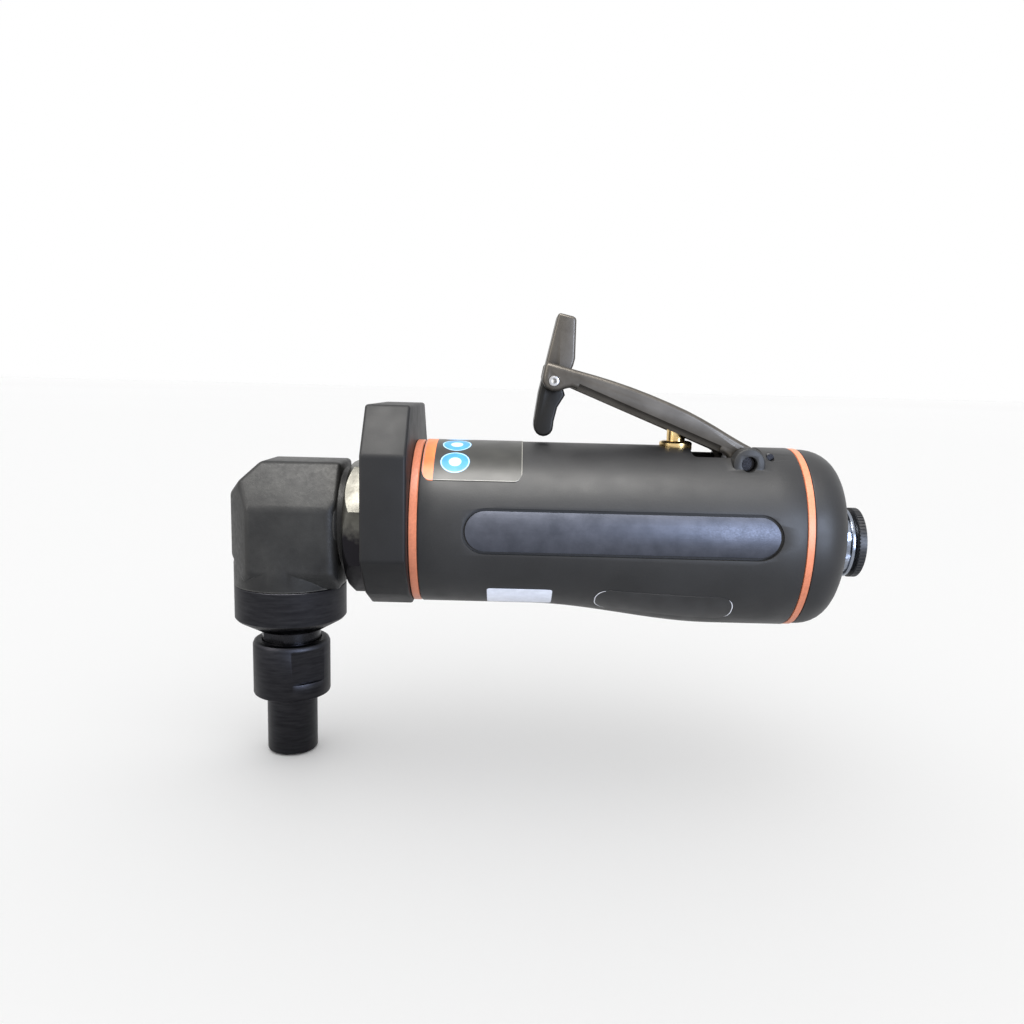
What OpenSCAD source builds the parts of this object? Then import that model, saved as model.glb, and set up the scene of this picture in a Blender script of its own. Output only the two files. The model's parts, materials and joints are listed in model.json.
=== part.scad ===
// Right-angle air die grinder with a locking throttle lever.
// Origin: centre of the collet mouth. +X runs to the air inlet, +Z up to the lever.
// Motor axis is parallel to X at height axis_h; the spindle turns about Z.

/* [Overall] */
// Height of the motor axis above the collet mouth, mm
axis_h = 62.5; // [55:0.5:70]
// Radius of the round grip, mm
grip_r = 20.6; // [18:0.1:24]
// Where the grip starts behind the guard, mm
grip_x0 = 34.8; // [34:0.1:38]
// Where the grip ends in front of the rear ring, mm
grip_x1 = 126.5; // [115:0.5:140]
// Rear end of the cap, mm
cap_x1 = 139; // [130:0.5:150]

/* [Angle head] */
// Half width of the head across its side faces, mm
head_w = 14; // [12:0.5:16]
// Front of the head, mm
head_x0 = -13.6; // [-18:0.1:-13]
// Rear of the head block, mm
head_x1 = 14.5; // [13:0.1:15]
// Top of the head above the motor axis, mm
head_top = 14.8; // [14:0.1:18]
// Radius of the round lower neck and of the bearing cap, mm
neck_r = 14.2; // [13:0.1:16]

/* [Bevel gears] */
// Teeth on the gear of the spindle
gear_n = 16; // [14:1:20]
// Teeth on the motor's bevel pinion
pinion_n = 12; // [10:1:16]
// Gap between teeth as a share of the tooth pitch
gap_share = 0.62; // [0.55:0.01:0.7]

/* [Collet] */
// Radius of the collet's bore, for a 6 mm shank
collet_r = 3; // [1.5:0.05:3.2]
// Radius of the collet nut's grip ring, mm
nut_r = 9.9; // [9:0.1:11]
// Radius of the collet nut's nose, mm
nose_r = 6.45; // [6:0.05:7]

/* [Guard] */
// Front face of the guard, mm
guard_x0 = 22; // [21:0.1:24]
// Rear face of the guard, mm
guard_x1 = 32.7; // [31:0.1:35]
// Drop of the clamp nut's facets below its thread axis, mm
nut_drop = -1.6; // [-3:0.1:0]
// Half width of the guard, mm
guard_w = 24.5; // [22:0.1:27]
// Top of the guard above the motor axis, mm
guard_top = 29.5; // [26:0.1:32]
// Bottom of the guard below the motor axis, mm
guard_bot = 20.3; // [19:0.1:24]

/* [Air motor] */
// Radius of the rotor, mm
rotor_r = 11.2; // [10:0.1:12]
// Front end of the rotor, mm
rotor_x0 = 48.3; // [46:0.1:50]
// Rear end of the rotor, mm
rotor_x1 = 83.7; // [80:0.1:86]
// Offset of the cylinder bore from the rotor axis, mm
bore_off = 1.2; // [0.8:0.1:1.6]
// Number of vanes
vane_n = 5; // [4:1:6]

/* [Throttle] */
// Lever pivot, distance from the spindle axis, mm
pivot_x = 113.8; // [110:0.1:118]
// Lever pivot height above the motor axis, mm
pivot_z = 17.25; // [16:0.05:18]
// Slope of the lever at rest, degrees
lever_tilt = 21.9; // [18:0.1:25]
// Half width of the lever, mm
lever_w = 8.5; // [7:0.1:8.6]
// Thickness of the lever's sheet, mm
lever_t = 1.4; // [1:0.1:1.6]
// Valve stem axis, distance from the spindle axis, mm
valve_x = 98.1; // [95:0.1:100]
// Radius of the valve stem, mm
stem_r = 2.3; // [2:0.05:2.5]

/* [Air inlet] */
// Height of the inlet axis relative to the motor axis, mm
inlet_z = -3.2; // [-5:0.1:0]
// Radius of the inlet's thread wall, for a 1/4 inch pipe thread, mm
inlet_r = 5.7; // [5:0.05:6]
// Rear end of the inlet bushing, mm
inlet_x1 = 145.2; // [142:0.1:150]

/* [Hidden] */
$fn = 96;
egg_r = 20.3;
egg_low_r = 14.1;
egg_low_z = -10.6;
sleeve_in = 17.6;
body_r = 17.5;
latch_x = 66.4;
latch_z = 35.97;
ring_clear = 0.05;

// Which node to draw

// ---------- shared shapes ----------

module at_axis() translate([0, 0, axis_h]) children();

// Round bar along X from x0 to x1.
module rod_x(x0, x1, r)
  translate([x0, 0, 0]) rotate([0, 90, 0]) cylinder(h = x1 - x0, r = r);

// Round tube along X.
module tube_x(x0, x1, ro, ri)
  difference() {
    rod_x(x0, x1, ro);
    rod_x(x0 - 1, x1 + 1, ri);
  }

// Round bar along Z from z0 up to z1.
module rod_z(z0, z1, r) translate([0, 0, z0]) cylinder(h = z1 - z0, r = r);

// Outer race of a ball bearing with its cage of balls, along Z from 0 to w.
module race(ro, ri, w) {
  mid = (ro + ri) / 2;
  ball = (ro - ri) * 0.27;
  difference() {
    cylinder(h = w, r = ro);
    translate([0, 0, -1]) cylinder(h = w + 2, r = mid + ball * 0.62);
    translate([0, 0, w / 2]) rotate_extrude() translate([mid, 0]) circle(r = ball + 0.05);
  }
  for (k = [0:6])
    rotate([0, 0, k * 360 / 7]) translate([mid, 0, w / 2]) sphere(r = ball, $fn = 32);
}

// Inner race of the same bearing.
module hub(ro, ri, w) {
  mid = (ro + ri) / 2;
  ball = (ro - ri) * 0.27;
  difference() {
    cylinder(h = w, r = mid - ball * 0.62);
    translate([0, 0, -1]) cylinder(h = w + 2, r = ri);
    translate([0, 0, w / 2]) rotate_extrude() translate([mid, 0]) circle(r = ball + 0.08);
  }
}

// Turns a shape built along Z so that it runs along X from x0.
module along_x(x0) translate([x0, 0, 0]) rotate([0, 90, 0]) children();

// Wedge gaps between straight bevel teeth. k is depth of the root per unit radius.
module tooth_gaps(n, k, phase) {
  w = gap_share * 180 / n;
  for (i = [0:n - 1])
    rotate([0, 0, phase + i * 360 / n])
      rotate([0, atan(k), 0])
        linear_extrude(height = 4)
          polygon([[0, 0], [14, 14 * tan(w * cos(atan(k)))],
            [14, -14 * tan(w * cos(atan(k)))]]);
}

// Section of the rear body, a round with a fuller underside; drawn in the YZ plane.
module egg_disc(x0, x1, grow)
  hull() {
    rod_x(x0, x1, egg_r + grow, $fn = 72);
    translate([0, 0, egg_low_z]) rod_x(x0, x1, egg_low_r + grow, $fn = 72);
  }

// Stadium of length l and height h, standing along Y.
module stadium(l, h, y0, y1)
  translate([0, y1, 0]) rotate([90, 0, 0])
    linear_extrude(height = y1 - y0)
      union() {
        square([l - h, h], center = true);
        translate([(l - h) / 2, 0]) circle(r = h / 2);
        translate([-(l - h) / 2, 0]) circle(r = h / 2);
      }

// ---------- angle head ----------

module angle_head() color([0.06, 0.06, 0.065]) at_axis()
  difference() {
    union() {
      intersection() {
        translate([0, 0, -16])
          linear_extrude(height = 34)
            polygon([[head_x0, -5.8], [head_x0, 5.8], [-7.2, head_w], [13, head_w], [head_x1, 12.5],
              [head_x1, -12.5], [13, -head_w], [-7.2, -head_w]]);
        translate([-20, 0, 0]) rotate([90, 0, 90])
          linear_extrude(height = 40)
            polygon([[-head_w, -17], [-head_w, 3.8], [-7.2, head_top], [7.2, head_top],
              [head_w, 3.8], [head_w, -17]]);
        translate([0, 20, 0]) rotate([90, 0, 0])
          linear_extrude(height = 40)
            polygon([[head_x0, -17], [head_x0, 6.6], [-5.4, head_top], [head_x1, head_top],
              [head_x1, -17]]);
        union() {
          rod_z(-11.5, 20, 24);
          translate([0, 0, -15.5]) cylinder(h = 4, r1 = neck_r, r2 = 21);
        }
      }
      rod_z(-17, -11.6, neck_r);
      along_x(13.5)
        rotate_extrude()
          polygon([[0, 0], [14, 0], [13.2, 1], [12.8, 2.4], [12.4, 2.6], [12.4, 6.5], [13.6, 6.6],
            [13.6, 9.5], [0, 9.5]]);
    }
    rod_z(-18, -13.6, 12.4);
    rod_z(-13.7, -10.1, 11);
    rod_z(-10.2, 8.4, 10.4);
    rod_z(8.3, 12.6, 6.5);
    rod_x(0, 24, 8);
  }

module bearing_cap() color([0.07, 0.07, 0.075]) at_axis()
  difference() {
    union() {
      rod_z(-25.9, -17, neck_r);
      rod_z(-17.1, -13.75, 12.35);
      translate([0, 0, -29.3]) cylinder(h = 3.4, r1 = 8.6, r2 = neck_r);
    }
    rod_z(-30, -24.9, 7.85);
    rod_z(-25, -17, 9.8);
    rod_z(-17.3, -13, 11.05);
  }

module spindle_seal() color([0.05, 0.05, 0.05]) at_axis()
  difference() {
    rod_z(-24.85, -21.85, 9.75);
    rod_z(-26, -21, 7.58);
  }

module spindle() color([0.35, 0.35, 0.37]) at_axis()
  difference() {
    union() {
      rod_z(8.45, 12.2, 2.5);
      rod_z(-9.9, 8.2, 3);
      rod_z(8.1, 8.5, 2.6);
      rod_z(-17.25, -9.8, 4);
      rod_z(-19.1, -17.2, 5.2);
      rod_z(-32.5, -19, 7.5);
      rod_z(-43.5, -32.4, 6.2);
    }
    // wrench flats
    for (s = [0, 180])
      rotate([0, 0, 62 + s]) translate([6.7, -10, -31.9]) cube([4, 20, 2.6]);
    // taper seat for the collet
    rod_z(-44, -33.2, 4.6);
    translate([0, 0, -43.6]) cylinder(h = 2, r1 = 5.2, r2 = 4.6);
  }

module bevel_gear() color([0.3, 0.3, 0.31]) at_axis()
  difference() {
    rotate_extrude()
      polygon([[3, -9.4], [7.2, -9.4], [8.5, -5.85], [8.32, -5.62], [4.9, -3.31], [3, -3.6]]);
    tooth_gaps(gear_n, 0.86, 0);
  }

module upper_bearing_race() color([0.6, 0.6, 0.62]) at_axis()
  translate([0, 0, 8.5]) race(6.5, 2.5, 4);

module upper_bearing_hub() color([0.65, 0.65, 0.67]) at_axis()
  translate([0, 0, 8.5]) hub(6.5, 2.5, 3.9);

module lower_bearing_race() color([0.6, 0.6, 0.62]) at_axis()
  translate([0, 0, -17.25]) race(11, 4, 7);

module lower_bearing_hub() color([0.65, 0.65, 0.67]) at_axis()
  translate([0, 0, -17.2]) hub(11, 4, 6.9);

module collet() color([0.45, 0.45, 0.47]) at_axis()
  difference() {
    rotate_extrude()
      polygon([[0, -62.5], [4.6, -62.5], [5.2, -61.6], [5.2, -56], [4.5, -54.5], [4.5, -46],
        [5.05, -44.5], [4.45, -42.5], [4.45, -34], [0, -34]]);
    rod_z(-63, -33, collet_r);
    for (a = [0:90:270])
      rotate([0, 0, a + 45]) translate([0, -0.35, -63]) cube([8, 0.7, 23]);
  }

module collet_nut() color([0.25, 0.25, 0.26]) at_axis()
  difference() {
    union() {
      rotate_extrude()
        polygon([[0, -46.6], [9.3, -46.6], [nut_r, -46.1], [nut_r, -32.9],
          [9.3, -32.05], [0, -32.05]]);
      rotate_extrude()
        polygon([[0, -62.2], [5.8, -62.2], [nose_r, -61.5], [nose_r, -46], [0, -46]]);
    }
    rod_z(-44.4, -32.9, 6.25);
    rod_z(-33, -31, 7.55);
    rod_z(-63, -44, 5.25);
    // two milled wrench flats
    for (s = [0, 180])
      rotate([0, 0, s - 49]) translate([8.85, -5, -42.2]) cube([4, 10, 8.4]);
  }

// ---------- clamp nut, pinion and guard ----------

module clamp_nut() color([0.72, 0.72, 0.7]) at_axis()
  difference() {
    union() {
      intersection() {
        translate([0, 0, nut_drop]) along_x(16.2) rotate([0, 0, -4]) cylinder(h = 5.8, r = 17.3, $fn = 8);
        translate([0, 0, nut_drop]) along_x(16.2)
          rotate_extrude()
            polygon([[0, 0], [15.4, 0], [17.4, 1.8], [17.4, 5.8], [0, 5.8]]);
      }
      rod_x(21.9, 32.65, 16.2);
    }
    rod_x(15, 24, 12.5);
    rod_x(19.9, 24, 13.7);
    rod_x(23.4, 34, 14.6);
  }

module pinion_shaft() color([0.3, 0.3, 0.31]) at_axis()
  difference() {
    union() {
      difference() {
        along_x(0)
          rotate_extrude()
            polygon([[0, 3.9], [3.1, 3.9], [3.54, 4.47], [6.34, 8.02], [6.1, 8.6], [5.2, 9.6],
              [4, 9.9], [0, 9.9]]);
        rotate([0, 90, 0]) tooth_gaps_out(pinion_n, 180 / pinion_n);
      }
      rod_x(9.8, 24, 4);
      rod_x(24, 31, 3.6);
      rod_x(31, 38, 3.2, $fn = 6);
    }
  }

// Gaps of the pinion open away from its axis, root per unit of axial distance.
module tooth_gaps_out(n, phase) {
  w = gap_share * 180 / n;
  a = atan(0.64);
  for (i = [0:n - 1])
    rotate([0, 0, phase + i * 360 / n])
      rotate([0, a - 90, 0])
        mirror([0, 0, 1])
          linear_extrude(height = 4)
            polygon([[0, 0], [14, 14 * tan(w * sin(a))], [14, -14 * tan(w * sin(a))]]);
}

module pinion_front_race() color([0.6, 0.6, 0.62]) at_axis() along_x(11) race(8, 4, 5);

module pinion_front_hub() color([0.65, 0.65, 0.67]) at_axis() along_x(11.05) hub(8, 4, 4.9);

module pinion_rear_race() color([0.6, 0.6, 0.62]) at_axis() along_x(18) race(8, 4, 5);

module pinion_rear_hub() color([0.65, 0.65, 0.67]) at_axis() along_x(18.05) hub(8, 4, 4.9);

module bearing_spacer() color([0.4, 0.4, 0.42]) at_axis() tube_x(16.05, 17.95, 7.95, 6.9);

module front_guard() color([0.07, 0.07, 0.075]) at_axis()
  difference() {
    translate([guard_x0, 0, 0]) rotate([90, 0, 90])
      linear_extrude(height = guard_x1 - guard_x0)
        polygon([[-16.3, guard_top], [16.3, guard_top], [guard_w, 18.2], [guard_w, -6.5],
          [16, -16], [7, -guard_bot], [-7, -guard_bot], [-16, -16], [-guard_w, -6.5],
          [-guard_w, 18.2]]);
    rod_x(21, 35, 16.3);
  }

module front_ring() color([0.85, 0.3, 0.15]) at_axis()
  tube_x(guard_x1 + 0.02, grip_x0 - 0.02, 20.5, 14.7);

// ---------- housing ----------

module motor_housing() color([0.5, 0.5, 0.52]) at_axis()
  difference() {
    union() {
      rod_x(24.5, 36, 14.5);
      rod_x(grip_x0 + 0.05, 126.4, body_r);
      // lug that carries the lever pin
      translate([pivot_x, 5.4, pivot_z]) rotate([90, 0, 0]) cylinder(h = 10.8, r = 2.6);
      translate([pivot_x - 2.4, -5.4, 12]) cube([4.8, 10.8, 5]);
    }
    rod_x(23, 39, 10);
    rod_x(38.9, 92.5, 15.5);
    // pocket under the lever
    difference() {
      translate([101, -9, 12.8]) cube([17.4, 18, 12]);
      translate([pivot_x - 2.4, -5.4, 12]) cube([4.8, 10.8, 5.2]);
      translate([pivot_x, 5.4, pivot_z]) rotate([90, 0, 0]) cylinder(h = 10.8, r = 2.6);
    }
    translate([pivot_x, 20, pivot_z]) rotate([90, 0, 0]) cylinder(h = 40, r = 1.65);
    // valve chamber, closed from below by the plug
    translate([valve_x, 0, 0]) {
      rod_z(9.9, 20, 3.4);
      rod_z(2.4, 10, 3.2);
      rod_z(-19, 2.5, 4.6);
    }
    // air passages
    translate([0, 0, inlet_z]) rod_x(valve_x, 127, 4);
    translate([0, 0, inlet_z]) rod_x(118.9, 127, 7.95);
    translate([0, 0, 6]) rod_x(92, valve_x, 1.9);
  }

// Outline of the grip with its fuller underside towards the rear.
module grip_outside() {
  rod_x(grip_x0, 80, grip_r);
  hull() {
    rod_x(67, 68, grip_r, $fn = 72);
    egg_disc(105, 106, 0);
  }
  egg_disc(105, grip_x1, 0);
}

module grip_sleeve() color([0.16, 0.16, 0.165]) at_axis()
  difference() {
    union() {
      grip_outside();
      // bosses for the lever pin
      for (s = [1, -1])
        translate([pivot_x, s * 11.05 + 1.75, pivot_z])
          rotate([90, 0, 0]) cylinder(h = 3.5, r = 3.9);
    }
    rod_x(30, 130, sleeve_in);
    translate([101, -9, 12.8]) cube([17.4, 18, 12]);
    translate([pivot_x, 20, pivot_z]) rotate([90, 0, 0]) cylinder(h = 40, r = 1.8);
    translate([valve_x, 0, 0]) rod_z(10, 30, 3.5);
    translate([valve_x, 0, 0]) rod_z(19.55, 30, 4.15);
    // exhaust chamber in the underside
    translate([104, -6.5, -20.8]) cube([24, 13, 6]);
    // recess of the nameplate on the side
    intersection() {
      translate([83.2, -25, 0.6]) stadium(75.6, 11, 0, 10);
      tube_x(40, 128, 24, 19.7);
    }
    // roll pin hole behind the lever
    translate([119.9, 13, 18.8]) rotate([90, 0, 0]) cylinder(h = 26, r = 0.9);
  }

module nameplate() color([0.3, 0.31, 0.34]) at_axis()
  intersection() {
    translate([83.2, -25, 0.6]) stadium(73.8, 9.2, 0, 10);
    tube_x(40, 128, 20.2, 19.72);
  }

module front_label() color([0.12, 0.12, 0.13]) at_axis()
  intersection() {
    tube_x(36.5, 59.5, grip_r + 0.15, grip_r + 0.01);
    translate([30, -13.1, 12.4]) cube([40, 26.2, 12]);
  }

module data_label() color([0.1, 0.1, 0.1]) at_axis()
  intersection() {
    tube_x(51.5, 67.3, grip_r + 0.15, grip_r + 0.01);
    translate([40, -15, -19]) cube([40, 9, 4.6]);
  }

module rear_ring() color([0.85, 0.3, 0.15]) at_axis()
  difference() {
    egg_disc(grip_x1 + 0.05, 128.35, 0);
    translate([0, 0, inlet_z]) rod_x(120, 130, 12);
    for (y = [-6:3:6])
      translate([0, y, -19]) rod_x(120, 130, 1.2);
  }

module rear_cap() color([0.16, 0.16, 0.165]) at_axis()
  difference() {
    hull() {
      rod_x(128.4, 130, egg_r, $fn = 72);
      translate([0, 0, egg_low_z]) rod_x(128.4, 130, egg_low_r, $fn = 72);
      rod_x(132.6, 133.2, egg_r - 1.1, $fn = 72);
      translate([0, 0, egg_low_z]) rod_x(132.6, 133.2, egg_low_r - 1.1, $fn = 72);
      rod_x(136, 136.4, egg_r - 3.9, $fn = 72);
      translate([0, 0, egg_low_z + 1]) rod_x(136, 136.4, egg_low_r - 3.9, $fn = 72);
      rod_x(138, 138.2, egg_r - 6.8, $fn = 72);
      translate([0, 0, egg_low_z + 3]) rod_x(138, 138.2, egg_low_r - 6.3, $fn = 72);
      rod_x(138.4, cap_x1, egg_r - 9.6, $fn = 72);
    }
    translate([0, 0, inlet_z]) rod_x(120, 140, 7.95);
    for (y = [-6:3:6])
      translate([0, y, -19]) rod_x(120, 140, 1.2);
  }

module muffler() color([0.35, 0.34, 0.3]) at_axis()
  difference() {
    translate([105, -6.3, -20.6]) cube([18, 12.6, 3.6]);
    rod_x(99, 126, sleeve_in);
  }

// ---------- air motor ----------

module motor_cylinder() color([0.4, 0.4, 0.42]) at_axis()
  difference() {
    rod_x(48.05, 83.95, 15.4);
    translate([0, 0, -bore_off]) rod_x(48, 84, 12.65);
    // exhaust ports
    for (i = [0:4])
      translate([54 + i * 6, -16, -4]) rotate([-90, 0, 0]) cylinder(h = 8, r = 1.4);
  }

module front_plate() color([0.45, 0.45, 0.47]) at_axis()
  difference() {
    rod_x(40.05, 48, 15.4);
    rod_x(42, 49, 9.5);
    rod_x(39, 43, 5.2);
    for (a = [90, 270])
      rotate([a, 0, 0]) translate([0, 0, 13.9]) rod_x(45, 49, 1);
  }

module rear_plate() color([0.45, 0.45, 0.47]) at_axis()
  difference() {
    rod_x(84, 92, 15.4);
    rod_x(83, 90, 9.5);
    for (a = [90, 270])
      rotate([a, 0, 0]) translate([0, 0, 13.9]) rod_x(83, 87, 1);
    translate([0, 0, 10.5]) rod_x(83, 93, 0.9);
    translate([0, 0, 6]) rod_x(89.5, 93, 1.9);
  }

module dowel_pins() color([0.7, 0.7, 0.7]) at_axis()
  for (a = [90, 270])
    rotate([a, 0, 0]) translate([0, 0, 13.9]) {
      rod_x(45.1, 48.05, 0.95);
      rod_x(83.95, 86.9, 0.95);
    }

module rotor() color([0.38, 0.38, 0.4]) at_axis()
  difference() {
    union() {
      rod_x(rotor_x0, rotor_x1, rotor_r);
      rod_x(34, rotor_x0 + 0.1, 4.6);
      rod_x(rotor_x1 - 0.1, 89.6, 4.5);
    }
    rod_x(33, 38.5, 3.25, $fn = 6);
    for (k = [0:vane_n - 1])
      rotate([k * 360 / vane_n, 0, 0])
        translate([47, -0.9, 5]) cube([38, 1.8, 8]);
  }

module vanes() color([0.35, 0.24, 0.14]) at_axis()
  for (k = [0:vane_n - 1])
    rotate([k * 360 / vane_n, 0, 0])
      translate([rotor_x0 + 0.2, -0.8, 5.3]) cube([rotor_x1 - rotor_x0 - 0.4, 1.6, 5.6]);

module rotor_front_race() color([0.6, 0.6, 0.62]) at_axis() along_x(42.05) race(9.5, 4.6, 5);

module rotor_front_hub() color([0.65, 0.65, 0.67]) at_axis() along_x(42.1) hub(9.5, 4.6, 4.9);

module rotor_rear_race() color([0.6, 0.6, 0.62]) at_axis() along_x(84.9) race(9.5, 4.5, 5);

module rotor_rear_hub() color([0.65, 0.65, 0.67]) at_axis() along_x(84.95) hub(9.5, 4.5, 4.6);

// ---------- air inlet ----------

module inlet_bushing() color([0.55, 0.57, 0.62]) at_axis() translate([0, 0, inlet_z])
  difference() {
    union() {
      rod_x(119, cap_x1 + 0.05, 7.9);
      intersection() {
        along_x(cap_x1 + 0.05) rotate([0, 0, 30]) cylinder(h = 2.2, r = 9.3, $fn = 6);
        rod_x(cap_x1, 142, 8.9);
      }
      along_x(141.2)
        rotate_extrude()
          polygon([[0, 0], [8.4, 0], [8.8, 0.4], [8.8, 1], [8.2, 1.7], [0, 1.7]]);
      rod_x(142.8, inlet_x1, 7.2);
    }
    rod_x(118, 134.1, 4.6);
    rod_x(134, 146, inlet_r);
  }

module inlet_screen() color([0.6, 0.6, 0.58]) at_axis() translate([0, 0, inlet_z])
  difference() {
    rod_x(132.9, 133.8, 4.57);
    for (a = [0:60:300])
      rotate([a, 0, 0]) translate([0, 0, 2.6]) rod_x(132, 136, 0.9);
    rod_x(132, 136, 0.9);
  }

module swivel_ring() color([0.04, 0.04, 0.04]) at_axis() translate([0, 0, inlet_z])
  difference() {
    rod_x(143.5, inlet_x1 + 0.2, 8.9);
    rod_x(143, 146, 7.2 + ring_clear);
    for (a = [0:12:348])
      rotate([a, 0, 0]) translate([143.4, -0.28, 8.55]) cube([2.2, 0.56, 1]);
  }

// ---------- throttle valve ----------

module valve_bushing() color([0.78, 0.6, 0.3]) at_axis() translate([valve_x, 0, 0])
  difference() {
    union() {
      rod_z(10, 19.7, 3.35);
      rod_z(19.6, 21.8, 4.1);
    }
    rod_z(9, 23, stem_r + 0.05);
  }

module valve_stem() color([0.8, 0.62, 0.32]) at_axis() translate([valve_x, 0, 0]) {
  translate([0, 0, 25.3]) sphere(r = stem_r);
  rod_z(9, 25.3, stem_r);
  rod_z(-1, 9.1, 1.3);
  rod_z(-2.6, -0.9, 3.4);
  rod_z(-4.4, -2.5, 1.5);
}

module stem_seal() color([0.04, 0.04, 0.04]) at_axis() translate([valve_x, 0, 0])
  difference() {
    rod_z(-0.88, 0.1, 3.2);
    rod_z(-2, 1, 1.35);
  }

module valve_seat() color([0.6, 0.6, 0.62]) at_axis() translate([valve_x, 0, 0])
  difference() {
    rod_z(0.15, 2.35, 4.55);
    rod_z(-1, 3, 2.1);
  }

// Return spring under the stem, drawn as turns of wire.
module valve_spring() color([0.6, 0.6, 0.62]) at_axis() translate([valve_x, 0, 0]) {
  for (i = [0:5])
    translate([0, 0, -3.1 - i * 1.9]) rotate_extrude() translate([2.6, 0]) circle(r = 0.4, $fn = 24);
}

module valve_plug() color([0.5, 0.5, 0.52]) at_axis() translate([valve_x, 0, 0])
  difference() {
    rod_z(-16.5, -13.3, 4.55);
    translate([0, 0, -17]) cylinder(h = 2, r = 2, $fn = 6);
  }

// ---------- lever and latch ----------

// Draws in the lever's own frame: u along the lever to the front, v square to it.
module lever_frame()
  translate([pivot_x, 0, pivot_z]) rotate([0, lever_tilt, 0]) mirror([1, 0, 0]) children();

module side_plate(y0, y1, pts)
  translate([0, y1, 0]) rotate([90, 0, 0]) linear_extrude(height = y1 - y0) polygon(pts);

module throttle_lever() color([0.03, 0.03, 0.033]) at_axis() lever_frame()
  difference() {
    union() {
      // top plate, open at the front for the latch
      side_plate(-lever_w, lever_w, [[-1.3, 3], [5, 3.1], [12, 4.1], [18, 4.6], [28, 4.6],
        [38, 4], [46, 3], [46, 4.4], [38, 5.4], [28, 6.05], [18, 6.05], [12, 5.5], [5, 4.5],
        [-0.6, 4.1]]);
      // side cheeks
      for (s = [1, -1]) {
        translate([0, s * (lever_w - lever_t / 2), 0]) {
          side_plate(-lever_t / 2, lever_t / 2, [[-0.5, 3.85], [-2, 3.2], [-3.7, 1],
            [-3.7, -1], [-2, -3.1], [2, -3.1], [4.5, 0], [46.5, 0], [48.6, -1.9],
            [50, -2.8], [52.2, -2.7], [53.6, -1.4], [54.6, 3.3], [46, 4.4], [38, 5.4],
            [28, 6.05], [18, 6.05], [12, 5.5], [5, 4.5]]);
        }
        // turned-in lower lips
        translate([0, s * (lever_w - lever_t - 0.5), 0])
          side_plate(-0.6, 0.6, [[9, 0.02], [44, 0.02], [44, 1.2], [9, 1.2]]);
      }
    }
    translate([0, 12, 0]) rotate([90, 0, 0]) cylinder(h = 24, r = 1.7);
    translate([50.96, 12, -0.3]) rotate([90, 0, 0]) cylinder(h = 24, r = 1.3);
  }

module lever_pin() color([0.35, 0.35, 0.37]) at_axis()
  translate([pivot_x, 11, pivot_z]) rotate([90, 0, 0]) cylinder(h = 22, r = 1.62);

module lever_roll_pin() color([0.35, 0.35, 0.37]) at_axis()
  translate([119.9, 8.4, 18.8]) rotate([90, 0, 0]) cylinder(h = 16.8, r = 0.85);

// The latch: thumb tab above its rivet, locking tongue below it.
module safety_latch() color([0.03, 0.03, 0.033]) at_axis() translate([latch_x, 0, latch_z])
  difference() {
    union() {
      // front web running from the tab to the tongue
      side_plate(-5.6, 5.6, [[0.8, 16.5], [-1.75, 5], [-3.5, -2.8], [-4.5, -9.5],
        [-3.2, -9.9], [-2.2, -2.8], [-0.5, 5], [2.1, 16.5]]);
      for (s = [1, -1])
        translate([0, s * 4.95, 0]) {
          // tab flange
          side_plate(-0.6, 0.6, [[0.8, 16.5], [4.6, 15.6], [5.2, 14.8], [5.2, 5.6],
            [4.8, 3.9], [2.4, -1.6], [0.3, -2.6], [-3.5, -2.8], [-1.75, 5]]);
          // tongue flange
          side_plate(-0.6, 0.6, [[-3.5, -2.8], [2.4, -1.6], [3, -3.4], [1.2, -6.4],
            [0.4, -9.9], [-4.5, -9.9]]);
        }
      // rounded end of the tongue
      translate([-2.1, 5.6, -11.2]) rotate([90, 0, 0]) cylinder(h = 11.2, r = 2.4);
      side_plate(-5.6, 5.6, [[-4.45, -11], [0.3, -11], [0.4, -9], [-4.5, -9]]);
    }
    translate([0, 12, 0]) rotate([90, 0, 0]) cylinder(h = 24, r = 1.35);
    // room for the spring behind the web
    translate([0, 4.2, 0]) rotate([90, 0, 0]) cylinder(h = 8.4, r = 2.2);
  }

module latch_rivet() color([0.5, 0.5, 0.5]) at_axis() translate([latch_x, 0, latch_z])
  difference() {
    translate([0, 8.9, 0]) rotate([90, 0, 0]) cylinder(h = 17.8, r = 1.28);
    translate([0, 10, 0]) rotate([90, 0, 0]) cylinder(h = 20, r = 0.6);
  }

// Torsion spring round the rivet.
module latch_spring() color([0.6, 0.6, 0.62]) at_axis() translate([latch_x, 0, latch_z])
  for (i = [0:5])
    translate([0, -2.5 + i, 0]) rotate([90, 0, 0]) rotate_extrude() translate([1.65, 0])
      circle(r = 0.25, $fn = 24);

angle_head();
bearing_cap();
spindle();
bevel_gear();
upper_bearing_race();
upper_bearing_hub();
lower_bearing_race();
lower_bearing_hub();
spindle_seal();
collet();
collet_nut();
clamp_nut();
pinion_shaft();
pinion_front_race();
pinion_front_hub();
pinion_rear_race();
pinion_rear_hub();
bearing_spacer();
front_guard();
front_ring();
motor_housing();
grip_sleeve();
nameplate();
motor_cylinder();
front_plate();
rear_plate();
rotor();
vanes();
rotor_front_race();
rotor_front_hub();
rotor_rear_race();
rotor_rear_hub();
dowel_pins();
rear_ring();
rear_cap();
muffler();
inlet_bushing();
inlet_screen();
swivel_ring();
valve_bushing();
valve_stem();
stem_seal();
valve_seat();
valve_spring();
valve_plug();
throttle_lever();
lever_pin();
lever_roll_pin();
safety_latch();
latch_rivet();
latch_spring();
front_label();
data_label();
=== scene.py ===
import json
import math

import bpy
from mathutils import Matrix, Vector

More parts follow.
